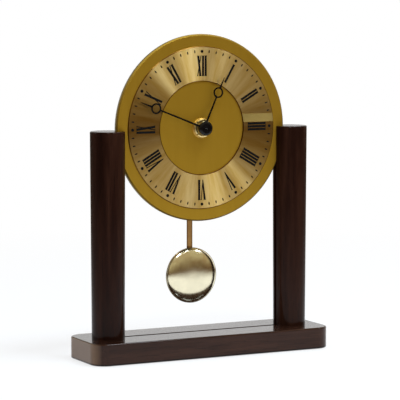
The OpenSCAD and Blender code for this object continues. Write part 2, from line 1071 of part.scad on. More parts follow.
module rotor() {
    magnet_d = 5;
    color("#4a4a50")
        at_dial() {
            gear(
                rotor_teeth,
                train_module,
                rotor_phase,
                intermediate_y - 0.2,
                magnet_y - intermediate_y + 0.3,
                rotor_axis
            );
            bar(magnet_y, magnet_t, magnet_d, rotor_axis);
            train_arbor(rotor_axis);
        }
}

// Motor
module stator() {
    pole = 9.5;
    bridge = 5.5;
    z = rotor_axis[1];
    top = coil_z + core_w / 2 + 1;
    color("#8d9096")
        at_dial()
            difference() {
                slab(motor_y, lamination)
                    difference() {
                        union() {
                            translate([motor_left, z - pole / 2])
                                square([12, pole]);
                            translate([motor_left, z])
                                square([leg_w, top - z]);
                            translate([motor_left, z - bridge / 2])
                                square([motor_right - motor_left, bridge]);
                            translate([motor_right - leg_w, z - bridge / 2])
                                square([leg_w, top - z + bridge / 2]);
                        }
                        translate(rotor_axis)
                            circle(d = 6);
                        for (place = [intermediate_axis, seconds_axis])
                            translate(place)
                                circle(d = train_arbor_d + 1.4);
                    }
                core_bolt_holes(motor_y - 1);
            }
}

module core_bolt_holes(y0) {
    for (x = [motor_left + leg_w / 2, motor_right - leg_w / 2])
        bar(y0, 3, 1, [x, coil_z]);
}

module motor_core() {
    color("#8d9096")
        at_dial()
            difference() {
                block(
                    [motor_left, core_y, coil_z - core_w / 2],
                    [motor_right, motor_y, coil_z + core_w / 2]
                );
                core_bolt_holes(core_y - 1);
            }
}

// Square tube along X around the motor core
module core_tube(left, right, half_y, half_z, inner_y, inner_z) {
    y = core_y + lamination / 2;
    difference() {
        block([left, y - half_y, coil_z - half_z], [right, y + half_y, coil_z + half_z]);
        block(
            [left - 1, y - inner_y, coil_z - inner_z],
            [right + 1, y + inner_y, coil_z + inner_z]
        );
    }
}

module coil_bobbin() {
    inner_y = lamination / 2 + fixed;
    inner_z = core_w / 2 + fixed;
    color("#dfe3e6")
        at_dial() {
            core_tube(coil_left, coil_right, inner_y + 0.4, inner_z + 0.4, inner_y, inner_z);
            for (x = [coil_left, coil_right - coil_flange])
                core_tube(x, x + coil_flange, coil_half_y + 0.2, coil_half_z + 0.2, inner_y, inner_z);
        }
}

module coil_winding() {
    inner_y = lamination / 2 + fixed + 0.4;
    inner_z = core_w / 2 + fixed + 0.4;
    color("#b4662c")
        at_dial()
            core_tube(
                coil_left + coil_flange,
                coil_right - coil_flange,
                coil_half_y,
                coil_half_z,
                inner_y,
                inner_z
            );
}

// Electronics
module circuit_board() {
    color("#2f6b3a")
        at_dial()
            block([board_left, board_y, board_low], [board_right, board_y + board_t, board_high]);
}

module quartz_crystal() {
    crystal_d = 2.2;
    color("silver")
        at_dial()
            translate([board_right - 3.3, board_y - crystal_d / 2, 4])
                cylinder(h = 6, d = crystal_d);
}

module chip() {
    color("#101010")
        at_dial()
            block([board_left + 2, board_y - 1, 9.5], [board_left + 7, board_y, 14.5]);
}

// Battery
module battery_cell() {
    color("#3b5d86")
        at_dial()
            translate([cell_left, bay_y, bay_z])
                rotate([0, 90, 0]) {
                    cylinder(h = cell_l, d = cell_d);
                    cylinder(h = cell_l + nub_l, d = nub_d);
                }
}

module positive_contact() {
    x = contact_x;
    color("#c8c8c8")
        at_dial() {
            block([x, bay_y - 4, bay_z - 4], [x + contact_t, bay_y + 4, bay_z + 4]);
            block([x, board_y - 1.6, bay_z], [x + contact_t, board_y, bay_top + divider + 1]);
            block(
                [board_right - 1.2, board_y - contact_t, bay_top + divider + 0.6],
                [x + contact_t, board_y, bay_top + divider + 1]
            );
            block(
                [board_right - 1.2, board_y - contact_t, bay_top + divider + 0.6],
                [board_right - 0.4, board_y, board_low + 2]
            );
        }
}

module negative_contact() {
    x = -contact_x - contact_t;
    shelf = bay_top + divider;
    color("#c8c8c8")
        at_dial() {
            block([x, bay_y - 4, bay_z - 4], [x + contact_t, bay_y + 4, bay_z + 4]);
            block([x, board_y - 1.6, bay_z], [x + contact_t, board_y, shelf + contact_t]);
            block([x, board_y - 1.6, shelf + 0.02], [board_left + 2, board_y, shelf + contact_t]);
            block(
                [board_left + 1.6, board_y - 1.6, shelf + 0.02],
                [board_left + 2, board_y, board_low + 2]
            );
            translate([x + contact_t - 0.1, bay_y, bay_z])
                rotate([0, 90, 0])
                    difference() {
                        cylinder(h = spring_l + 0.1, d1 = 7, d2 = 4.6);
                        translate([0, 0, 0.3])
                            cylinder(h = spring_l, d1 = 6, d2 = 3.6);
                    }
        }
}

// Pendulum suspension
module pivot_pin() {
    front = floor_y - pivot_l + 0.1;
    color("#d0d0d4")
        at_dial()
            bar(front, cover_y + pivot_l - 0.1 - front, pin_d, [0, pivot_z]);
}

module pendulum_hanger() {
    hook_low = drive_bottom - hook_l;
    color("#e6e2d6")
        at_dial()
            difference() {
                union() {
                    bar(hub_y, hub_back - hub_y, hub_d, [0, pivot_z]);
                    block([-arm_w / 2, arm_y, drive_bottom - 1], [arm_w / 2, arm_y + arm_t, pivot_z]);
                    bar(arm_y, arm_t, hanger_magnet_d + 2.4, [0, drive_coil_z]);
                    block([-arm_w / 2, arm_y, hook_low], [arm_w / 2, rod_y - 0.2, drive_bottom - 0.5]);
                    bar(rod_y - 0.3, rod_t + 0.9, peg_d, [0, peg_z]);
                    block(
                        [-peg_d / 2, rod_y + rod_t + 0.2, peg_z],
                        [peg_d / 2, rod_y + rod_t + 0.6, peg_z + 1.7]
                    );
                }
                bar(hub_y - 1, hub_back - hub_y + 2, pin_d + 2 * running, [0, pivot_z]);
                bar(arm_y - 1, 1 + magnet_t, hanger_magnet_d + 2 * fixed, [0, drive_coil_z]);
            }
}

module hanger_magnet() {
    color("#77787c")
        at_dial()
            bar(arm_y, magnet_t, hanger_magnet_d, [0, drive_coil_z]);
}

module drive_coil() {
    back = arm_y - drive_air;
    color("#b4662c")
        at_dial()
            translate([0, 0, drive_coil_z])
                slab(back - drive_coil_t, drive_coil_t)
                    difference() {
                        circle(d = drive_coil_d);
                        circle(d = drive_core_d + 2 * fixed);
                    }
}

// Pendulum
module pendulum_rod() {
    slot_w = peg_d + 0.4;
    top = dial_z + peg_z;
    foot = bob_z - 4;
    color("#a5673a")
        slab(rod_y, rod_t)
            difference() {
                union() {
                    translate([0, top])
                        circle(d = rod_w + 2.4);
                    translate([-rod_w / 2, foot])
                        square([rod_w, top - foot]);
                    translate([0, foot])
                        circle(d = rod_w);
                }
                translate([0, top - 0.2])
                    circle(d = slot_w);
                translate([-slot_w / 2, top - 2.2])
                    square([slot_w, 2]);
                translate([0, bob_z])
                    circle(d = rivet_d + 2 * fixed);
            }
}

function cap_sphere(rise) = (bob_dome_r * bob_dome_r + rise * rise) / (2 * rise);
function pillow(t, rise) = rise * pow(1 - pow(t, 2.4), 0.6);

module back_dome(seam, rise) {
    outer = cap_sphere(rise);
    intersection() {
        difference() {
            translate([0, seam + rise - outer, 0])
                sphere(outer, $fn = 180);
            translate([0, seam + rise - outer, 0])
                sphere(outer - shell_t, $fn = 180);
        }
        bar(seam, rise + 1, 2 * bob_dome_r);
    }
}

module bob_front_shell() {
    r = bob_d / 2;
    inner_r = bob_dome_r - shell_t;
    inner_rise = bob_front - shell_t;
    color("#d9c27a")
        translate([0, 0, bob_z])
            union() {
                turned(concat(
                    [for (a = [0:6:90]) [bob_dome_r * sin(a), bob_seam_y - pillow(sin(a), bob_front)]],
                    [for (a = [90:-6:0]) [inner_r * sin(a), bob_seam_y - pillow(sin(a), inner_rise)]]
                ));
                turned([
                    [inner_r, bob_seam_y - shell_t],
                    [r - 0.3, bob_seam_y - shell_t],
                    [r, bob_seam_y - shell_t + 0.3],
                    [r, bob_seam_y + shell_t + 0.3],
                    [r - 0.3, bob_seam_y + shell_t + 0.3],
                    [r - 0.3, bob_seam_y],
                    [inner_r, bob_seam_y]
                ]);
            }
}

module bob_back_shell() {
    r = bob_d / 2;
    seam = bob_seam_y + shell_t;
    color("#c9b069")
        translate([0, 0, bob_z])
            difference() {
                union() {
                    back_dome(seam, bob_back);
                    turned([
                        [bob_dome_r - 0.6, bob_seam_y],
                        [r - 0.3, bob_seam_y],
                        [r - 0.3, seam],
                        [bob_dome_r - 0.6, seam]
                    ]);
                }
                bar(seam, bob_back + 2, rivet_d + 2 * fixed);
            }
}

module bob_rivet() {
    front = bob_back_y - shell_t;
    color("#b98f3c")
        translate([0, 0, bob_z]) {
            bar(front - 0.4, rod_y + rod_t - front + 0.5, rivet_d);
            bar(front - 0.65, 0.6, rivet_d + 1.6);
            bar(rod_y + rod_t, 0.6, rivet_d + 2);
        }
}

base_plinth();
left_post();
right_post();
post_screws();
post_dowels();
felt_pads();
dial_plate();
chapter_ring();
name_strip();
dial_screws();
dial_gasket();
nut_washer();
dial_nut();
hour_hand();
minute_hand();
hand_cap();
movement_case();
back_cover();
pendulum_cover();
cover_screws();
centre_bush();
middle_plate();
minute_arbor();
minute_wheel();
hour_wheel();
set_knob();
centre_wheel();
third_wheel();
seconds_wheel();
intermediate_wheel();
rotor();
stator();
motor_core();
coil_bobbin();
coil_winding();
circuit_board();
quartz_crystal();
chip();
battery_cell();
positive_contact();
negative_contact();
pivot_pin();
pendulum_hanger();
hanger_magnet();
drive_coil();
pendulum_rod();
bob_front_shell();
bob_back_shell();
bob_rivet();
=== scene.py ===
import json
import math

import bmesh
import bpy
from mathutils import Matrix, Vector


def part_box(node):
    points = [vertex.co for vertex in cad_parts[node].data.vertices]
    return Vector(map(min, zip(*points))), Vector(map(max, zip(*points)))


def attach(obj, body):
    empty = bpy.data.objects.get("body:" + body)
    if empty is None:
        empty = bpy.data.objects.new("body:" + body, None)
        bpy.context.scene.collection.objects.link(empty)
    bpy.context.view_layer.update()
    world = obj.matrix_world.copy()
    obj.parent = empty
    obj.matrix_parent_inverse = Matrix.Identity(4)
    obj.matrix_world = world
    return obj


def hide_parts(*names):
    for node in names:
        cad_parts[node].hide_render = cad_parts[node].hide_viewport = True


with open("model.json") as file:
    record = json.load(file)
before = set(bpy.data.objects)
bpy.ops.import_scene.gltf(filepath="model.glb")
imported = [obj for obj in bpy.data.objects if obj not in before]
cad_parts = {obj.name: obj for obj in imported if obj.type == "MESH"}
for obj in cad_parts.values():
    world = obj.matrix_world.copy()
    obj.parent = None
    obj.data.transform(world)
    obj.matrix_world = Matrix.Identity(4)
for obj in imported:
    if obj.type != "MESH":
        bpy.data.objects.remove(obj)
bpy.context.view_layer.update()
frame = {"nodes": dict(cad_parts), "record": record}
mm = 0.001
black, white = (0, 0, 0), (1, 1, 1)
print("frame loaded:", len(frame["nodes"]), "nodes")


def middleOf(box):
    return [(low + high) / 2 for low, high in zip(*box)]


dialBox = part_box("dial_plate")
dialZ = middleOf(dialBox)[2]
dialR = (dialBox[1][2] - dialBox[0][2]) / 2
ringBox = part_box("chapter_ring")
ringFront = ringBox[0][1]
ringOuter = (ringBox[1][2] - ringBox[0][2]) / 2
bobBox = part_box("bob_front_shell")
bobX, _, bobZ = middleOf(bobBox)

camera = {
    "azimuth": -26.789,
    "elevation": 5.63,
    "distance": 1.4362,
    "target": (-0.00043, -0.00012, 0.1002),
    "lens": 199.28,
    "sensor": 36,
    "clip": (0.01, 50),
}


def addObject(name, data):
    obj = bpy.data.objects.new(name, data)
    bpy.context.scene.collection.objects.link(obj)
    return obj


def buildCamera():
    data = bpy.data.cameras.new("camera")
    data.lens = camera["lens"]
    data.sensor_width = camera["sensor"]
    data.clip_start, data.clip_end = camera["clip"]
    cam = addObject("camera", data)
    turn, tilt = math.radians(camera["azimuth"]), math.radians(camera["elevation"])
    level = math.cos(tilt)
    away = Vector((math.sin(turn) * level, -math.cos(turn) * level, math.sin(tilt)))
    cam.location = Vector(camera["target"]) + away * camera["distance"]
    cam.rotation_euler = (-away).to_track_quat("-Z", "Y").to_euler()
    bpy.context.scene.camera = cam


buildCamera()
print("camera placed")


def newTree(owner, outputKind):
    owner.use_nodes = True
    tree = owner.node_tree
    tree.nodes.clear()
    return tree, tree.nodes.new(outputKind)


def newMaterial(name):
    mat = bpy.data.materials.new(name)
    tree, output = newTree(mat, "ShaderNodeOutputMaterial")
    shader = tree.nodes.new("ShaderNodeBsdfPrincipled")
    tree.links.new(shader.outputs["BSDF"], output.inputs["Surface"])
    return mat, tree, shader


def setSocket(tree, socket, value):
    if isinstance(value, bpy.types.NodeSocket):
        tree.links.new(value, socket)
    elif socket.type == "RGBA":
        socket.default_value = tuple(value) + (1,)
    else:
        socket.default_value = value


def addNode(tree, kind, inputs=None, **settings):
    node = tree.nodes.new(kind)
    for key, value in settings.items():
        setattr(node, key, value)
    for key, value in (inputs or {}).items():
        setSocket(tree, node.inputs[key], value)
    return node


def maths(tree, operation, a, b=None, c=None):
    values = {i: v for i, v in enumerate((a, b, c)) if v is not None}
    return addNode(tree, "ShaderNodeMath", values, operation=operation).outputs[0]


def vectorMaths(tree, operation, a, b=None):
    values = {0: a} if b is None else {0: a, 1: b}
    return addNode(tree, "ShaderNodeVectorMath", values, operation=operation).outputs


def place(tree):
    return addNode(tree, "ShaderNodeTexCoord").outputs["Object"]


def split(tree, vector):
    return addNode(tree, "ShaderNodeSeparateXYZ", {"Vector": vector}).outputs


def joined(tree, x=0.0, y=0.0, z=0.0):
    return addNode(tree, "ShaderNodeCombineXYZ", {"X": x, "Y": y, "Z": z}).outputs[0]


def stretched(tree, vector, scale):
    inputs = {"Vector": vector, "Scale": scale}
    return addNode(tree, "ShaderNodeMapping", inputs).outputs[0]


def noise(tree, vector, scale=1.0, detail=2.0, rough=0.5, distortion=0.0, stretch=None):
    if stretch:
        vector = stretched(tree, vector, stretch)
    inputs = {
        "Vector": vector, "Scale": scale, "Detail": detail,
        "Roughness": rough, "Distortion": distortion,
    }
    return addNode(tree, "ShaderNodeTexNoise", inputs).outputs[0]


def ramp(tree, factor, spots, colours):
    node = addNode(tree, "ShaderNodeValToRGB", {"Fac": factor})
    marks = node.color_ramp.elements
    while len(marks) < len(spots):
        marks.new(0.5)
    for mark, spot, colour in zip(marks, spots, colours):
        mark.position = spot
        mark.color = tuple(colour) + (1,)
    return node.outputs[0]


def blend(tree, factor, a, b):
    node = addNode(tree, "ShaderNodeMix", data_type="RGBA")
    for index, value in ((0, factor), (6, a), (7, b)):
        setSocket(tree, node.inputs[index], value)
    return node.outputs[2]


def spread(tree, value, low, high, fromLow=0.0, fromHigh=1.0):
    inputs = {
        "Value": value, "From Min": fromLow, "From Max": fromHigh,
        "To Min": low, "To Max": high,
    }
    return addNode(tree, "ShaderNodeMapRange", inputs).outputs[0]


def bump(tree, height, strength, depth, under=None):
    inputs = {"Height": height, "Strength": strength, "Distance": depth}
    if under:
        inputs["Normal"] = under
    return addNode(tree, "ShaderNodeBump", inputs).outputs[0]


def surfaceNormal(tree, axis):
    return split(tree, addNode(tree, "ShaderNodeNewGeometry").outputs["Normal"])[axis]


def reachFrom(tree, at, centre):
    # distance from a centre, and height over it, both in the plane of the dial
    offset = vectorMaths(tree, "SUBTRACT", at, centre)[0]
    flat = vectorMaths(tree, "MULTIPLY", offset, (1, 0, 1))[0]
    return vectorMaths(tree, "LENGTH", flat)[1], split(tree, offset)[2]


def darker(colour, share):
    return tuple(c * share for c in colour)


def lifted(colour, share, extra):
    return tuple(min(1, c * share + extra) for c in colour)


def uneven(tree, value, level, shares):
    return spread(tree, value, *[level * share for share in shares])


def feed(tree, shader, **inputs):
    names = {
        "colour": "Base Color",
        "roughness": "Roughness",
        "metallic": "Metallic",
        "normal": "Normal",
        "tangent": "Tangent",
        "coat": "Coat Weight",
        "coatRoughness": "Coat Roughness",
        "coatIor": "Coat IOR",
        "coatNormal": "Coat Normal",
        "anisotropy": "Anisotropic",
        "turn": "Anisotropic Rotation",
        "sheen": "Sheen Weight",
        "specular": "Specular IOR Level",
    }
    for key, value in inputs.items():
        setSocket(tree, shader.inputs[names[key]], value)


darkWoodLook = {
    "base": {
        "tones": [(0.009, 0.0026, 0.0014), (0.026, 0.0088, 0.0046), (0.048, 0.0180, 0.0098)],
        "lacquer": 1.0,
        "coatIor": 1.28,
    },
    "post": {
        "tones": [(0.006, 0.0014, 0.0008), (0.013, 0.0032, 0.0015), (0.032, 0.0105, 0.0052)],
        "lacquer": 0.55,
        "coatIor": 1.25,
    },
    "toneSpots": [0.30, 0.50, 0.72],
    # each grain is given as its scale along and across the length of the wood
    "figure": {"run": (14, 190), "detail": 4, "rough": 0.55, "distortion": 0.6},
    "band": {"run": (3, 46), "detail": 2, "rough": 0.5, "distortion": 0.9},
    "pores": {"run": (60, 2600), "detail": 3, "rough": 0.65},
    "bandShare": 0.55,
    "poreSpots": [0.56, 0.66],
    "poreShare": 0.65,
    "poreBump": (0.25, 0.00006),
    "poreColour": (0.004, 0.0012, 0.0009),
    # painted light: the end grain of the short sides is made lighter, as if lit from the side
    "endGrainPaintedLight": (0.17, 0.10, 0.06),
    "endPaintedLightShare": 0.8,
    "endFrom": (0.55, 0.95),
    # painted shadow: the base goes dark along its lower edge, where it meets the floor
    "paintedShadowShare": 0.95,
    "paintedShadowBand": (0.0010, 0.0022),
    "roughness": (0.34, 0.5),
    "specular": 0.03,
    "gloss": 0.08,
    "lacquerWave": {"scale": 70, "detail": 3},
    "lacquerBump": (0.03, 0.0004),
}


def darkWood(name, part):
    mat, tree, shader = newMaterial(name)
    look, own = darkWoodLook, darkWoodLook[part]
    at = place(tree)

    def grain(key):
        settings = dict(look[key])
        along, across = settings.pop("run")
        run = (along, across, across) if part == "base" else (across, across, along)
        return noise(tree, at, stretch=run, **settings)

    figure = grain("figure")
    rest = maths(tree, "MULTIPLY", figure, 1 - look["bandShare"])
    mixed = maths(tree, "MULTIPLY_ADD", grain("band"), look["bandShare"], rest)
    wood = ramp(tree, mixed, look["toneSpots"], own["tones"])
    pores = ramp(tree, grain("pores"), look["poreSpots"], [black, white])
    dark = maths(tree, "MULTIPLY", pores, look["poreShare"])
    colour = blend(tree, dark, wood, look["poreColour"])
    if part == "base":  # painted light on the end grain of the short sides, and a painted shadow along the lower edge
        sideways = maths(tree, "ABSOLUTE", surfaceNormal(tree, 0))
        paintedLightEnds = spread(tree, sideways, 0.0, look["endPaintedLightShare"], *look["endFrom"])
        colour = blend(tree, paintedLightEnds, colour, look["endGrainPaintedLight"])
        # painted shadow: darker towards the bottom of the base
        low = spread(tree, split(tree, at)[2], look["paintedShadowShare"], 0.0, *look["paintedShadowBand"])
        colour = blend(tree, low, colour, look["poreColour"])
    wave = noise(tree, at, **look["lacquerWave"])
    feed(
        tree, shader,
        colour=colour,
        roughness=spread(tree, figure, *look["roughness"]),
        specular=look["specular"],
        coat=own["lacquer"],
        coatRoughness=look["gloss"],
        normal=bump(tree, pores, *look["poreBump"]),
        coatIor=own["coatIor"],
        coatNormal=bump(tree, wave, *look["lacquerBump"]),
    )
    return mat


rawWoodLook = {
    "grain": {"stretch": (900, 900, 60), "detail": 4, "rough": 0.6},
    "spots": [0.3, 0.7],
    "tones": [(0.42, 0.26, 0.13), (0.66, 0.47, 0.28)],
    "roughness": 0.7,
    "bump": (0.3, 0.0001),
}


def rawWood(name):
    mat, tree, shader = newMaterial(name)
    look = rawWoodLook
    grain = noise(tree, place(tree), **look["grain"])
    feed(
        tree, shader,
        colour=ramp(tree, grain, look["spots"], look["tones"]),
        roughness=look["roughness"],
        normal=bump(tree, grain, *look["bump"]),
    )
    return mat


plateLook = {
    "light": (0.62, 0.385, 0.042),
    "deep": (0.54, 0.325, 0.028),
    "lines": {"stretch": (5200, 300, 60), "detail": 3, "rough": 0.6},
    "broad": {"stretch": (260, 60, 18)},
    "broadShare": 0.5,
    "patina": (0.42, 0.25, 0.05),
    "patinaShare": 0.16,
    "patinaCloud": {"scale": 34, "detail": 3},
    "cutEdge": (0.30, 0.27, 0.17),
    "cutFrom": (0.3, 0.5),
    # painted shade: the front bevel near the rim of the disc is darkened
    "bevel": (0.17, 0.105, 0.022),
    "bevelShadeShare": 0.72,
    "bevelBand": (0.0011, 0.0007),  # inside the edge of the disc
    "bevelFront": (-0.4, 0.2),
    "roughness": (0.46, 0.56),
    "anisotropy": 0.3,
    "bump": (0.10, 0.00003),
}


def brushedGold(name):
    mat, tree, shader = newMaterial(name)
    look = plateLook
    at = place(tree)
    lines = noise(tree, at, **look["lines"])
    broad = noise(tree, at, **look["broad"])
    rest = maths(tree, "MULTIPLY", broad, look["broadShare"])
    mixed = maths(tree, "MULTIPLY_ADD", lines, 1 - look["broadShare"], rest)
    colour = blend(tree, mixed, look["deep"], look["light"])
    cloud = spread(tree, noise(tree, at, **look["patinaCloud"]), 0.0, look["patinaShare"])
    colour = blend(tree, cloud, colour, look["patina"])
    flatness = maths(tree, "ABSOLUTE", surfaceNormal(tree, 1))  # low on the cut edge
    cut = spread(tree, flatness, 1.0, 0.0, *look["cutFrom"])
    colour = blend(tree, cut, colour, look["cutEdge"])
    reach, _ = reachFrom(tree, at, (0, 0, dialZ))
    # painted shade on the front bevel near the rim of the disc
    band = [dialR - inside for inside in look["bevelBand"]]
    shadedBevel = spread(tree, reach, 0.0, look["bevelShadeShare"], *band)
    front = spread(tree, surfaceNormal(tree, 1), 1.0, 0.0, *look["bevelFront"])
    colour = blend(tree, maths(tree, "MULTIPLY", shadedBevel, front), colour, look["bevel"])
    feed(
        tree, shader,
        colour=colour,
        metallic=1.0,
        roughness=spread(tree, mixed, *look["roughness"]),
        anisotropy=look["anisotropy"],
        tangent=joined(tree, x=1.0),
        normal=bump(tree, lines, *look["bump"]),
    )
    return mat


ringLook = {
    "light": (0.74, 0.545, 0.235),
    "deep": (0.54, 0.325, 0.07),
    "innerColour": (0.12, 0.045, 0.006),
    "outerColour": (0.20, 0.10, 0.02),
    "innerBand": (0.03045, 0.03065),  # from the centre
    "outerBand": (0.0006, 0.00045),  # inside the edge of the ring
    "grooves": {"scale": 3600, "detail": 4, "rough": 0.7},
    "streak": {"scale": 9, "detail": 4, "rough": 0.6},
    "streakRun": 3.0,
    "streakFrom": (0.3, 0.7),
    "roughness": (0.36, 0.42),
    "edgeRoughness": 0.34,
    "anisotropy": 0.98,
    "turn": 0.25,  # a quarter turn lays the highlights out from the centre
    "bump": (0.08, 0.00002),
}


def spunGold(name):
    mat, tree, shader = newMaterial(name)
    look = ringLook
    at = place(tree)
    radius, z = reachFrom(tree, at, (0, 0, dialZ))
    grooves = noise(tree, joined(tree, x=radius), **look["grooves"])
    around = maths(tree, "ARCTAN2", split(tree, at)[0], z)
    circle = joined(
        tree,
        maths(tree, "SINE", around),
        maths(tree, "COSINE", around),
        maths(tree, "MULTIPLY", radius, look["streakRun"]),
    )
    streak = spread(tree, noise(tree, circle, **look["streak"]), 0.0, 1.0, *look["streakFrom"])
    colour = blend(tree, streak, look["deep"], look["light"])
    innerEdge = spread(tree, radius, 1.0, 0.0, *look["innerBand"])
    band = [ringOuter - inside for inside in look["outerBand"]]
    outerEdge = spread(tree, radius, 0.0, 1.0, *band)
    colour = blend(tree, innerEdge, colour, look["innerColour"])
    colour = blend(tree, outerEdge, colour, look["outerColour"])
    satin = spread(tree, grooves, *look["roughness"])
    feed(
        tree, shader,
        colour=colour,
        metallic=1.0,
        roughness=blend(tree, outerEdge, satin, [look["edgeRoughness"]] * 3),
        anisotropy=look["anisotropy"],
        turn=look["turn"],
        tangent=addNode(tree, "ShaderNodeTangent", direction_type="RADIAL", axis="Y").outputs[0],
        normal=bump(tree, grooves, *look["bump"]),
    )
    return mat


brassLook = {
    "fittings": (0.88, 0.70, 0.32),
    "bob": (0.97, 0.90, 0.66),
    "strip": (0.56, 0.42, 0.145),
    "deepShare": 0.84,
    "haze": {"scale": 60, "detail": 4, "rough": 0.6},
    "hazeFrom": (0.35, 0.65),
    "tarnish": (0.26, 0.22, 0.13),
    "tarnishShare": 0.93,
    "tarnishBand": (0.01755, 0.01805),  # the bob's rolled edge, from its centre
    # painted reflection: brown patches of the room on the top half of the bob
    "cloud": (0.62, 0.38, 0.20),
    "cloudShare": 0.38,
    "reflectionPatches": {"scale": 130, "distortion": 0.6},
    "cloudFrom": (0.42, 0.64),
    "reflectionHeight": (0.0005, 0.006),
    "unevenness": (0.75, 1.35),
    "scratch": {"stretch": (2400, 2400, 90), "detail": 3, "rough": 0.7},
    "scratchBump": (0.05, 0.00002),
    "wave": {"scale": 220},
    "waveBump": (0.06, 0.0004),
}


def polishedBrass(name, part, roughness):
    mat, tree, shader = newMaterial(name)
    look = brassLook
    at = place(tree)
    haze = noise(tree, at, **look["haze"])
    deep = darker(look[part], look["deepShare"])
    tone = blend(tree, spread(tree, haze, 0, 1, *look["hazeFrom"]), deep, look[part])
    if part == "bob":  # a tarnished rolled edge, and brown patches of painted reflection on the top half
        reach, up = reachFrom(tree, at, (bobX, 0.0, bobZ))
        rolled = spread(tree, reach, 0.0, look["tarnishShare"], *look["tarnishBand"])
        tone = blend(tree, rolled, tone, look["tarnish"])
        # painted reflection: brown patches, only on the top half of the bob
        reflectionHalf = spread(tree, up, 0.0, 1.0, *look["reflectionHeight"])
        patches = noise(tree, at, **look["reflectionPatches"])
        cloud = spread(tree, patches, 0.0, look["cloudShare"], *look["cloudFrom"])
        tone = blend(tree, maths(tree, "MULTIPLY", cloud, reflectionHalf), tone, look["cloud"])
    scratch = noise(tree, at, **look["scratch"])
    wave = bump(tree, noise(tree, at, **look["wave"]), *look["waveBump"])
    feed(
        tree, shader,
        colour=tone,
        metallic=1.0,
        roughness=uneven(tree, haze, roughness, look["unevenness"]),
        normal=bump(tree, scratch, *look["scratchBump"], wave),
    )
    return mat


steelLook = {
    "zinc": (0.62, 0.62, 0.62),
    "nickel": (0.52, 0.51, 0.49),
    "deepShare": 0.8,
    "unevenness": (0.8, 1.2),
    "grain": {"stretch": (1800, 1800, 200), "detail": 3, "rough": 0.6},
    "bump": (0.08, 0.00003),
}


def steel(name, plating, roughness):
    mat, tree, shader = newMaterial(name)
    look = steelLook
    grain = noise(tree, place(tree), **look["grain"])
    feed(
        tree, shader,
        colour=blend(tree, grain, darker(look[plating], look["deepShare"]), look[plating]),
        metallic=1.0,
        roughness=uneven(tree, grain, roughness, look["unevenness"]),
        normal=bump(tree, grain, *look["bump"]),
    )
    return mat


copperLook = {
    "deep": (0.42, 0.23, 0.075),
    "light": (0.66, 0.39, 0.14),
    "tarnish": (0.22, 0.10, 0.06),
    "tarnishShare": 0.35,
    "tarnishNoise": {"scale": 120, "detail": 4, "rough": 0.6},
    "tarnishFrom": (0.45, 0.75),
    # painted shade: the strip is darker towards its long edges
    "edge": (0.10, 0.045, 0.018),
    "edgeShadeShare": 0.85,
    "edgeShadeFrom": (0.0011, 0.0019),  # from the middle of the strip
    "lines": {"stretch": (6000, 400, 60), "detail": 3, "rough": 0.6},
    "roughness": (0.3, 0.42),
    "bump": (0.1, 0.00003),
}


def copperStrip(name):
    mat, tree, shader = newMaterial(name)
    look = copperLook
    at = place(tree)
    lines = noise(tree, at, **look["lines"])
    tarnish = noise(tree, at, **look["tarnishNoise"])
    colour = blend(tree, lines, look["deep"], look["light"])
    dull = spread(tree, tarnish, 0, look["tarnishShare"], *look["tarnishFrom"])
    colour = blend(tree, dull, colour, look["tarnish"])
    # painted shade towards the long edges of the strip
    aside = maths(tree, "ABSOLUTE", split(tree, at)[0])
    edge = spread(tree, aside, 0.0, look["edgeShadeShare"], *look["edgeShadeFrom"])
    feed(
        tree, shader,
        colour=blend(tree, edge, colour, look["edge"]),
        metallic=1.0,
        roughness=spread(tree, tarnish, *look["roughness"]),
        normal=bump(tree, lines, *look["bump"]),
    )
    return mat


paintLook = {
    "grain": {"scale": 900, "detail": 3, "rough": 0.6},
    "cloud": {"scale": 45, "detail": 3},
    "cloudShare": 0.5,
    "cloudFrom": (0.3, 0.7),
    "lift": (1.5, 0.004),
    "unevenness": (0.85, 1.2),
    "bump": (0.12, 0.00003),
}


def paint(name, colour, roughness, specular):
    mat, tree, shader = newMaterial(name)
    look = paintLook
    at = place(tree)
    grain = noise(tree, at, **look["grain"])
    patches = noise(tree, at, **look["cloud"])
    cloud = spread(tree, patches, 0, look["cloudShare"], *look["cloudFrom"])
    feed(
        tree, shader,
        colour=blend(tree, cloud, colour, lifted(colour, *look["lift"])),
        roughness=uneven(tree, grain, roughness, look["unevenness"]),
        specular=specular,
        normal=bump(tree, grain, *look["bump"]),
    )
    return mat


jacketLook = {
    "body": (0.030, 0.085, 0.20),
    "silver": (0.55, 0.55, 0.53),
    "bandFrom": (0.0108, 0.0110),
    "line": (0.0100, 0.00035),  # middle and half width
    "grain": {"scale": 700, "detail": 3, "rough": 0.6},
    "grainColour": (0.02, 0.05, 0.12),
    "grainShare": 0.25,
    "metallic": (0.1, 0.55),
    "roughness": (0.24, 0.36),
    "coat": 0.5,
    "coatRoughness": 0.12,
    "bump": (0.06, 0.00003),
}


def bandedJacket(name):
    mat, tree, shader = newMaterial(name)
    look = jacketLook
    at = place(tree)
    along = split(tree, at)[0]
    band = spread(tree, along, 0.0, 1.0, *look["bandFrom"])
    grain = noise(tree, at, **look["grain"])
    colour = blend(tree, band, look["body"], look["silver"])
    colour = blend(tree, maths(tree, "COMPARE", along, *look["line"]), colour, look["silver"])
    worn = spread(tree, grain, 0.0, look["grainShare"])
    feed(
        tree, shader,
        colour=blend(tree, worn, colour, look["grainColour"]),
        metallic=spread(tree, band, *look["metallic"]),
        roughness=spread(tree, grain, *look["roughness"]),
        coat=look["coat"],
        coatRoughness=look["coatRoughness"],
        normal=bump(tree, grain, *look["bump"]),
    )
    return mat


plasticLook = {
    "cloud": {"scale": 60, "detail": 3},
    "lift": (1.25, 0.003),
    "unevenness": (0.85, 1.15),
    "bump": (0.25, 0.00004),
}


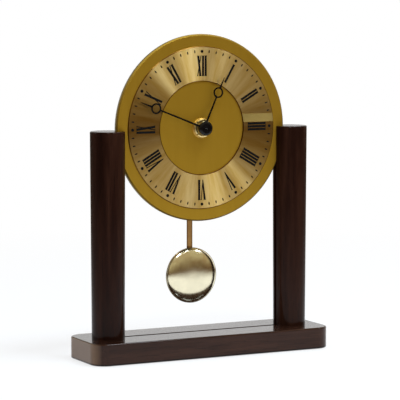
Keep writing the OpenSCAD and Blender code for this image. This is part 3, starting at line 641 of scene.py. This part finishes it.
def mouldedPlastic(name, colour, roughness, texture):
    mat, tree, shader = newMaterial(name)
    look = plasticLook
    at = place(tree)
    texturing = {"Vector": at, "Scale": texture}
    cells = addNode(tree, "ShaderNodeTexVoronoi", texturing, feature="F1").outputs[0]
    cloud = noise(tree, at, **look["cloud"])
    feed(
        tree, shader,
        colour=blend(tree, cloud, colour, lifted(colour, *look["lift"])),
        roughness=uneven(tree, cloud, roughness, look["unevenness"]),
        normal=bump(tree, cells, *look["bump"]),
    )
    return mat


feltLook = {
    "deep": (0.006, 0.006, 0.007),
    "light": (0.05, 0.05, 0.054),
    "fibres": {"scale": 1800, "detail": 5, "rough": 0.8, "distortion": 1.5},
    "tuft": {"scale": 300, "detail": 3},
    "roughness": (0.85, 1.0),
    "sheen": 0.4,
    "bump": (0.8, 0.0003),
}


def feltFabric(name):
    mat, tree, shader = newMaterial(name)
    look = feltLook
    at = place(tree)
    fibres = noise(tree, at, **look["fibres"])
    feed(
        tree, shader,
        colour=blend(tree, fibres, look["deep"], look["light"]),
        roughness=spread(tree, noise(tree, at, **look["tuft"]), *look["roughness"]),
        sheen=look["sheen"],
        normal=bump(tree, fibres, *look["bump"]),
    )
    return mat


wireLook = {
    "turns": (9000, 0, 0),
    "distortion": 0.4,
    "deep": (0.16, 0.05, 0.015),
    "light": (0.62, 0.27, 0.09),
    "metallic": 0.85,
    "roughness": 0.35,
    "bump": (0.7, 0.0001),
}


def windingWire(name):
    mat, tree, shader = newMaterial(name)
    look = wireLook
    turns = addNode(
        tree, "ShaderNodeTexWave",
        {
            "Vector": stretched(tree, place(tree), look["turns"]),
            "Scale": 1.0, "Distortion": look["distortion"], "Detail": 1.0,
        },
        wave_type="BANDS", bands_direction="X",
    ).outputs[1]
    feed(
        tree, shader,
        colour=blend(tree, turns, look["deep"], look["light"]),
        metallic=look["metallic"],
        roughness=look["roughness"],
        normal=bump(tree, turns, *look["bump"]),
    )
    return mat


boardLook = {
    "cells": (420, 420, 420),
    "mask": [(0.012, 0.10, 0.035), (0.014, 0.13, 0.045)],
    "track": (0.05, 0.24, 0.09),
    "trackWidth": 0.08,
    "roughness": 0.3,
    "coat": 0.4,
    "ripple": {"scale": 500},
    "bump": (0.1, 0.00003),
}


def solderMask(name):
    mat, tree, shader = newMaterial(name)
    look = boardLook
    at = place(tree)
    tracks = addNode(tree, "ShaderNodeTexBrick", {
        "Vector": stretched(tree, at, look["cells"]), "Scale": 1.0,
        "Mortar Size": look["trackWidth"], "Mortar": look["track"],
        "Color1": look["mask"][0], "Color2": look["mask"][1],
    }).outputs[0]
    feed(
        tree, shader,
        colour=tracks,
        roughness=look["roughness"],
        coat=look["coat"],
        normal=bump(tree, noise(tree, at, **look["ripple"]), *look["bump"]),
    )
    return mat


finishes = {
    "light_wood": rawWood("rawWood"),
    "black_felt": feltFabric("blackFelt"),
    "gold_dial": brushedGold("brushedGold"),
    "pale_gold": spunGold("spunGold"),
    "bright_brass": polishedBrass("polishedBrass", "fittings", 0.28),
    "copper_strip": copperStrip("copperStrip"),
    "black_hand": paint("blackLacquer", (0.0015, 0.0015, 0.0018), 0.2, 0.22),
    "steel": steel("zincSteel", "zinc", 0.34),
    "black_plastic": mouldedPlastic("blackPlastic", (0.012, 0.012, 0.013), 0.46, 2600),
    "white_plastic": mouldedPlastic("ivoryPlastic", (0.72, 0.70, 0.62), 0.38, 1500),
    "rubber": mouldedPlastic("blackRubber", (0.014, 0.014, 0.014), 0.75, 900),
    "copper_wire": windingWire("windingWire"),
    "board": solderMask("solderMask"),
    "magnet": steel("nickelMagnet", "nickel", 0.25),
    "cell_jacket": bandedJacket("cellPrint"),
}
woodAlongX = darkWood("darkWoodBase", "base")
woodAlongZ = darkWood("darkWoodPost", "post")
bobBrass = polishedBrass("bobBrass", "bob", 0.15)
inkBlack = paint("printInk", (0.003, 0.0026, 0.0024), 0.6, 0.06)
# nodes that don't wear the plain finish of their slot
special = {
    "base_plinth": woodAlongX,
    "left_post": woodAlongZ,
    "right_post": woodAlongZ,
    "bob_front_shell": bobBrass,
    "bob_back_shell": bobBrass,
    "hand_cap": paint("capLacquer", (0.0008, 0.0008, 0.0013), 0.16, 0.3),
    "name_strip": polishedBrass("stripGold", "strip", 0.5),
}
slotOf = {row["node"]: row["material_slot"] for row in frame["record"]["subparts"]}
for name, node in frame["nodes"].items():
    finish = special.get(name) or finishes[slotOf[name]]
    for slot in node.material_slots:
        slot.material = finish
print("finishes made:", len(finishes), "and", len(special), "nodes of their own")


# softened edges that catch the light, widths in millimetres
softEdges = {
    "base_plinth": 0.30, "left_post": 0.45, "right_post": 0.45,
    "movement_case": 0.40, "back_cover": 0.25, "pendulum_cover": 0.25, "set_knob": 0.12,
    "hour_hand": 0.06, "minute_hand": 0.06, "name_strip": 0.10, "nut_washer": 0.08,
    "cover_screws": 0.15, "dial_screws": 0.12, "pendulum_rod": 0.05, "bob_rivet": 0.15,
    "pendulum_hanger": 0.15, "felt_pads": 0.15, "hand_cap": 0.35, "dial_nut": 0.18,
}
rounding = {
    "finest": ("base_plinth", "left_post", "right_post", "hand_cap"),
    "finestSteps": 4,
    "steps": 2,
    "angle": 38,
}


def softenEdges():
    for name, width in softEdges.items():
        bevel = frame["nodes"][name].modifiers.new("softEdge", "BEVEL")
        bevel.width = width * mm
        bevel.segments = rounding["finestSteps" if name in rounding["finest"] else "steps"]
        bevel.limit_method = "ANGLE"
        bevel.angle_limit = math.radians(rounding["angle"])


softenEdges()
print("edges softened:", len(softEdges))


def meshObject(name, work, material):
    bmesh.ops.recalc_face_normals(work, faces=work.faces)
    mesh = bpy.data.meshes.new(name)
    work.to_mesh(mesh)
    work.free()
    mesh.materials.append(material)
    return addObject(name, mesh)


def rise(work, outline, y, thickness):
    # an outline in X and Z is raised forwards from the plane y
    back = [work.verts.new((x, y, z)) for x, z in outline]
    front = [work.verts.new((x, y - thickness, z)) for x, z in outline]
    work.faces.new(front)
    work.faces.new(list(reversed(back)))
    n = len(outline)
    for i in range(n):
        j = (i + 1) % n
        work.faces.new((back[i], back[j], front[j], front[i]))


def mirrored(right):
    return right + [(-x, z) for x, z in reversed(right)]


# millimetres, drawn upright at twelve with the foot at height 0
numeral = {
    "letters": ["XII", "I", "II", "III", "IIII", "V", "VI", "VII", "VIII", "IX", "X", "XI"],
    "foot": 33.5,
    "height": 13.2,
    "bar": 1.46,
    "thin": 0.60,
    "gap": 0.46,
    "serif": 0.16,
    "serifThickness": 0.34,
    "serifFlare": (0.5, 1.6),
    "veeWidth": 3.9,
    "veeApex": 0.56,
    "veeFoot": (-0.12, 0.34),
    "veeThin": -0.1,
    "exWidth": 3.3,
    "ink": 0.05,
}
minuteMarks = {
    "dotRadius": 49.4,
    "dotSize": 1.0,
    "dotSides": 28,
    "dashFrom": 48.45,
    "dashTo": 50.45,
    "dashWidth": 0.86,
    "dashTaper": [(0.45, 0), (1, 0.28), (1, 0.62), (0.4, 1)],  # share of width, share of length
    "underStrip": 14,
}


def barOutline():
    n = numeral
    w, s, t, h = n["bar"] / 2, n["serif"], n["serifThickness"], n["height"]
    near, far = (t * k for k in n["serifFlare"])
    right = [(w + s, 0), (w + s, near), (w, far), (w, h - far), (w + s, h - near), (w + s, h)]
    return mirrored(right), n["bar"] + 2 * s


def crossing(first, second):
    # where two lines meet, each given by two of its points
    (px, pz), (qx, qz) = first
    (rx, rz), (sx, sz) = second
    dx1, dz1, dx2, dz2 = qx - px, qz - pz, sx - rx, sz - rz
    k = ((rx - px) * dz2 - (rz - pz) * dx2) / (dx1 * dz2 - dz1 * dx2)
    return (px + k * dx1, pz + k * dz1)


def strokes(wide):
    n = numeral
    s, t, h = n["serif"], n["serifThickness"], n["height"]
    return s, t, h, n["bar"], n["thin"], -wide / 2 + s, wide / 2 - s


def veeOutline():
    n = numeral
    wide = n["veeWidth"]
    s, t, h, bar, thin, left, right = strokes(wide)
    apex = left + (wide - 2 * s) * n["veeApex"]
    footLeft, footRight = n["veeFoot"]
    thickInner = ((left + bar, h - t), (apex + bar / 2, 0))
    thinInner = ((right - thin, h - t), (apex + n["veeThin"], 0))
    outline = [
        (left - s, h), (left - s, h - t), (left, h - t), (apex + footLeft, 0),
        (apex + footRight, 0), (right, h - t), (right + s, h - t), (right + s, h),
        (right - thin - s, h), (right - thin - s, h - t), thinInner[0],
        crossing(thickInner, thinInner),
        thickInner[0], (left + bar + s, h - t), (left + bar + s, h),
    ]
    return outline, wide


def exOutline():
    wide = numeral["exWidth"]
    s, t, h, bar, thin, left, right = strokes(wide)
    thickLeft = ((left, h - t), (right - bar, t))
    thickRight = ((left + bar, h - t), (right, t))
    thinLeft = ((right - thin, h - t), (left, t))
    thinRight = ((right, h - t), (left + thin, t))
    outline = [
        (left - s, h), (left - s, h - t), thickLeft[0], crossing(thickLeft, thinLeft),
        thinLeft[1], (left - s, t), (left - s, 0),
        (left + thin + s, 0), (left + thin + s, t), thinRight[1], crossing(thickLeft, thinRight),
        thickLeft[1], (right - bar - s, t), (right - bar - s, 0),
        (right + s, 0), (right + s, t), thickRight[1], crossing(thickRight, thinRight),
        thinRight[0], (right + s, h - t), (right + s, h),
        (right - thin - s, h), (right - thin - s, h - t), thinLeft[0],
        crossing(thickRight, thinLeft),
        thickRight[0], (left + bar + s, h - t), (left + bar + s, h),
    ]
    return outline, wide


def numeralOutlines(letters):
    glyphs = {"I": barOutline, "V": veeOutline, "X": exOutline}
    made = [glyphs[letter]() for letter in letters]
    gap = numeral["gap"] - 2 * numeral["serif"]
    total = sum(wide for _, wide in made) + gap * (len(made) - 1)
    start = -total / 2
    placed = []
    for outline, wide in made:
        placed.append([(x + start + wide / 2, z) for x, z in outline])
        start += wide + gap
    return placed


def onDial(outline, turn, lift):
    # an upright outline in millimetres goes clockwise to its place, in metres
    a = math.radians(turn)
    out = []
    for x, z in outline:
        z += lift
        across = x * math.cos(a) + z * math.sin(a)
        up = z * math.cos(a) - x * math.sin(a)
        out.append((across * mm, dialZ + up * mm))
    return out


def minuteMark(minute):
    m = minuteMarks
    if minute % 5 == 0:
        angles = [2 * math.pi * k / m["dotSides"] for k in range(m["dotSides"])]
        dot = [(m["dotSize"] * math.sin(a), m["dotSize"] * math.cos(a)) for a in angles]
        return dot, m["dotRadius"]
    half, length = m["dashWidth"] / 2, m["dashTo"] - m["dashFrom"]
    return mirrored([(half * w, length * l) for w, l in m["dashTaper"]]), m["dashFrom"]


def buildPrint():
    work = bmesh.new()
    ink = numeral["ink"] * mm
    for hour, letters in enumerate(numeral["letters"]):
        for outline in numeralOutlines(letters):
            rise(work, onDial(outline, hour * 30, numeral["foot"]), ringFront, ink)
    for minute in range(60):
        if minute != minuteMarks["underStrip"]:
            outline, lift = minuteMark(minute)
            rise(work, onDial(outline, minute * 6, lift), ringFront, ink)
    piece = meshObject("dialPrint", work, inkBlack)
    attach(piece, "stand")


buildPrint()
print("dial print made")


def lathe(name, profile, centre, axis, material, sides, sharp=35):
    # closed shell from (radius, along) points in millimetres
    work = bmesh.new()
    rows = []
    for r, along in profile:
        row = []
        for k in range(sides if r else 1):
            a = 2 * math.pi * k / sides
            u, v = r * mm * math.sin(a), r * mm * math.cos(a)
            step = (u, along * mm, v) if axis == "Y" else (along * mm, u, v)
            row.append(work.verts.new(Vector(centre) + Vector(step)))
        rows.append(row)
    for near, far in zip(rows, rows[1:] + rows[:1]):
        for k in range(sides):
            j = (k + 1) % sides
            ring = [near[k % len(near)], near[j % len(near)], far[j % len(far)], far[k % len(far)]]
            corners = list(dict.fromkeys(ring))
            if len(corners) > 2:
                work.faces.new(corners)
    piece = meshObject(name, work, material)
    piece.data.shade_smooth()
    piece.data.set_sharp_from_angle(angle=math.radians(sharp))
    return piece


bobLook = {
    "dome": 18.0,  # millimetres
    "bulge": 4.6,
    "wall": 0.5,
    "power": 2.4,
    "root": 0.6,
    "rings": 64,
    "domeEnd": -0.27,
    "rim": 0.3,
    "rimCentre": (17.95, 0.05),
    "rimStep": 15,
    "skirt": [(18.25, 0.7), (18.2, 0.78), (17.99, 0.78), (17.97, 0.0)],
    "sides": 200,
    "sharp": 50,
}


def buildBobFront():
    b = bobLook
    seam = bobBox[0][1] + b["bulge"] * mm

    def dome(share, radius, bulge):
        depth = bulge * max(0.0, 1 - share ** b["power"]) ** b["root"]
        return (radius * share, -depth)

    shares = [math.sin(math.pi / 2 * k / b["rings"]) for k in range(b["rings"] + 1)]
    outer = [dome(share, b["dome"], b["bulge"]) for share in shares]
    inner = [dome(share, b["dome"] - b["wall"], b["bulge"] - b["wall"]) for share in shares]
    r, along = b["rimCentre"]
    turns = [math.radians(a) for a in range(0, 91, b["rimStep"])]
    profile = [point for point in outer if point[1] < b["domeEnd"]]
    profile += [(r + b["rim"] * math.sin(a), along - b["rim"] * math.cos(a)) for a in turns]
    profile += b["skirt"] + inner[::-1]
    centre = (bobX, seam, bobZ)
    piece = lathe("bobFront", profile, centre, "Y", bobBrass, b["sides"], b["sharp"])
    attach(piece, "pendulum")
    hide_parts("bob_front_shell")


# radius and distance from the flat end, in millimetres
cellLook = {
    "jacket": [
        (5.6, 0.02), (6.6, 0.0), (7.0, 0.08), (7.21, 0.4), (7.25, 0.8), (7.25, 48.3),
        (7.21, 48.7), (6.9, 49.08), (6.2, 49.18), (5.6, 49.18), (5.6, 49.06), (6.6, 49.04),
        (7.13, 48.4), (7.13, 0.8), (6.6, 0.14), (5.6, 0.14),
    ],
    "can": [
        (0, 0.28), (4.3, 0.28), (4.8, 0.2), (5.2, 0.15), (6.5, 0.15), (7.1, 0.8),
        (7.1, 48.4), (6.5, 49.03), (5.4, 49.03), (4.9, 48.7), (3.9, 48.7), (3.5, 49.1),
        (2.75, 49.25), (2.7, 49.95), (2.5, 50.15), (0, 50.18),
    ],
    "sides": 96,
}


def buildCell():
    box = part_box("battery_cell")
    centre = (box[0][0], *middleOf(box)[1:])
    sides = cellLook["sides"]
    jacket = lathe("cellJacket", cellLook["jacket"], centre, "X", finishes["cell_jacket"], sides)
    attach(jacket, "cell")
    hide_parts("battery_cell")
    can = lathe("cellCan", cellLook["can"], centre, "X", finishes["steel"], sides)
    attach(can, "cell")


# plus, minus and a turning arrow round the knob, printed on the back cover
markLook = {
    "raised": 0.06,
    "sunk": 0.01,
    "bar": 0.55,
    "plus": 3.2,
    "aboveCell": 10.6,
    "plusInset": 13.5,
    "minusInset": 12,
    "arc": (40, 320),
    "arcSteps": 40,
    "arcRadius": 7.6,
    "arrowLength": 0.28,
    "arrowHalf": 1.1,
}


def buildMarks():
    m = markLook
    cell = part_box("battery_cell")
    knobX, _, knobZ = middleOf(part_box("set_knob"))
    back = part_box("back_cover")[1][1] + (m["raised"] - m["sunk"]) * mm
    half, arm, radius = m["bar"] / 2, m["plus"] / 2, m["arcRadius"]
    flat = [(-arm, -half), (arm, -half), (arm, half), (-arm, half)]
    upright = [(-half, -arm), (half, -arm), (half, arm), (-half, arm)]
    markZ = middleOf(cell)[2] + m["aboveCell"] * mm
    plusX, minusX = cell[1][0] - m["plusInset"] * mm, cell[0][0] + m["minusInset"] * mm
    work = bmesh.new()

    def mark(outline, x, z):
        rise(work, [(x + a * mm, z + b * mm) for a, b in outline], back, m["raised"] * mm)

    def arcMark(corners):
        mark([(r * math.sin(t), r * math.cos(t)) for t, r in corners], knobX, knobZ)

    mark(flat, plusX, markZ)
    mark(upright, plusX, markZ)
    mark(flat, minusX, markZ)
    start, end = m["arc"]
    steps = m["arcSteps"]
    angles = [math.radians(start + (end - start) * k / steps) for k in range(steps + 1)]
    inner, outer = radius - half, radius + half
    for a, b in zip(angles, angles[1:]):
        arcMark([(a, inner), (b, inner), (b, outer), (a, outer)])
    root, tip = angles[-1], angles[-1] + m["arrowLength"]
    arcMark([(root, radius - m["arrowHalf"]), (tip, radius), (root, radius + m["arrowHalf"])])
    piece = meshObject("backMarks", work, finishes["white_plastic"])
    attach(piece, "stand")


buildBobFront()
buildCell()
buildMarks()
print("bob, cell and marks made")


studio = {
    "floorReach": 9.0,  # metres
    "floorColour": 0.88,
    "floorLift": 1.01,
    "floorNoise": {"scale": 3},
    "floorNear": 0.74,
    "floorFade": (0.18, 0.75),  # the drawn floor turns plain white over this distance
    "worldFill": 0.55,
    "room": (0.12, 0.072, 0.028),
    "roomHigh": (0.47, 0.40, 0.24),
    "roomSlant": 0.04,
    "whiteSlant": 0.20,
    "slantHeight": 0.05,
    "mottle": {"scale": 1.6, "detail": 3},
    "mottleShare": (-0.25, 0.25, 0.3, 0.7),
    "roomRise": 1.1,
}


def seenRays(tree):
    # camera, mirror and see-through rays, those that show a surface itself
    ray = addNode(tree, "ShaderNodeLightPath").outputs
    direct = maths(tree, "MAXIMUM", ray["Is Camera Ray"], ray["Is Glossy Ray"])
    return ray, maths(tree, "MAXIMUM", direct, ray["Is Transmission Ray"])


def emission(tree, colour):
    return addNode(tree, "ShaderNodeEmission", {"Color": colour, "Strength": 1.0}).outputs[0]


def floorPaint():
    mat = bpy.data.materials.new("paleFloor")
    tree, output = newTree(mat, "ShaderNodeOutputMaterial")
    pale = (studio["floorColour"],) * 3
    speckle = noise(tree, place(tree), **studio["floorNoise"])
    tone = blend(tree, speckle, pale, [c * studio["floorLift"] for c in pale])
    lit = addNode(tree, "ShaderNodeBsdfDiffuse", {"Color": tone}).outputs[0]
    ray, seen = seenRays(tree)
    reach = vectorMaths(tree, "LENGTH", place(tree))[1]
    # mirror rays find the dim room on the floor away from the object
    slant = maths(tree, "DIVIDE", studio["slantHeight"], maths(tree, "ADD", reach, mm))
    far = spread(tree, slant, 1.0, 0.0, studio["roomSlant"], studio["whiteSlant"])
    dim = maths(tree, "MULTIPLY", far, ray["Is Glossy Ray"])
    glow = emission(tree, blend(tree, dim, white, studio["room"]))
    plain = spread(tree, reach, studio["floorNear"], 1.0, *studio["floorFade"])
    share = maths(tree, "MULTIPLY", seen, plain)
    surface = addNode(tree, "ShaderNodeMixShader", {0: share, 1: lit, 2: glow}).outputs[0]
    tree.links.new(surface, output.inputs["Surface"])
    return mat


def buildFloor():
    work = bmesh.new()
    e = studio["floorReach"]
    work.faces.new([work.verts.new((x, y, 0.0)) for x, y in ((-e, -e), (e, -e), (e, e), (-e, e))])
    meshObject("floor", work, floorPaint())


def buildWorld():
    world = bpy.data.worlds.new("world")
    bpy.context.scene.world = world
    tree, output = newTree(world, "ShaderNodeOutputWorld")
    strength = spread(tree, seenRays(tree)[1], studio["worldFill"], 1.0)
    inputs = {"Color": white, "Strength": strength}
    back = addNode(tree, "ShaderNodeBackground", inputs).outputs[0]
    tree.links.new(back, output.inputs["Surface"])


lampLook = {"colour": (0.82, 0.95, 1.08), "target": (0, 0, 0.12)}
lamps = {
    "topSoftbox": {
        "towards": (0.25, -0.40, 0.88), "away": 1.5,
        "size": (0.55, 0.40), "power": 14.5,
    },
    "leftSoftbox": {
        "towards": (-0.24, -0.56, 0.79), "away": 1.6,
        "size": (0.22, 0.22), "power": 7.5,
    },
    "rightSoftbox": {
        "towards": (0.66, -0.36, 0.66), "away": 1.5,
        "size": (0.25, 0.30), "power": 3.2,
    },
}


def buildLamps():
    for name, lamp in lamps.items():
        data = bpy.data.lights.new(name, "AREA")
        data.shape = "RECTANGLE"
        data.size, data.size_y = lamp["size"]
        data.energy = lamp["power"]
        data.color = lampLook["colour"]
        towards = Vector(lamp["towards"]).normalized()
        spot = Vector(lampLook["target"]) + towards * lamp["away"]
        aim = (-towards).to_track_quat("-Z", "Y").to_matrix().to_4x4()
        addObject(name, data).matrix_world = Matrix.Translation(spot) @ aim


roomWalls = {
    "front": {"centre": (0.0, -2.2, 1.1), "normal": (0.0, 1.0, 0.0), "size": (6.0, 2.2)},
    "ceiling": {"centre": (0.0, -0.2, 2.2), "normal": (0.0, 0.0, -1.0), "size": (6.0, 4.0)},
    "back": {"centre": (0.0, 2.4, 1.5), "normal": (0.0, -1.0, 0.0), "size": (6.0, 1.4)},
    "right": {"centre": (2.6, -0.9, 1.1), "normal": (-1.0, 0.0, 0.0), "size": (2.2, 2.7)},
    "left": {"centre": (-2.6, -0.9, 1.1), "normal": (1.0, 0.0, 0.0), "size": (2.2, 2.7)},
}


def roomPaint():
    mat = bpy.data.materials.new("dimRoom")
    tree, output = newTree(mat, "ShaderNodeOutputMaterial")
    height = split(tree, addNode(tree, "ShaderNodeNewGeometry").outputs["Position"])[2]
    mottle = spread(tree, noise(tree, place(tree), **studio["mottle"]), *studio["mottleShare"])
    up = spread(tree, height, 0.0, 1.0, 0.0, studio["roomRise"])
    share = addNode(tree, "ShaderNodeClamp", {0: maths(tree, "ADD", up, mottle)}).outputs[0]
    glow = emission(tree, blend(tree, share, studio["room"], studio["roomHigh"]))
    tree.links.new(glow, output.inputs["Surface"])
    return mat


def buildRoom():
    # only mirror rays see these walls
    mat = roomPaint()
    for name, wall in roomWalls.items():
        work = bmesh.new()
        w, h = (side / 2 for side in wall["size"])
        corners = ((-w, -h, 0), (w, -h, 0), (w, h, 0), (-w, h, 0))
        work.faces.new([work.verts.new(corner) for corner in corners])
        obj = meshObject("room." + name, work, mat)
        turn = Vector(wall["normal"]).to_track_quat("Z", "Y").to_matrix().to_4x4()
        obj.matrix_world = Matrix.Translation(wall["centre"]) @ turn
        obj.visible_camera = False
        obj.visible_shadow = False
        obj.visible_diffuse = False
        obj.visible_transmission = False


buildFloor()
buildWorld()
buildLamps()
buildRoom()
print("studio lit")

bpy.context.scene.view_settings.view_transform = "Standard"
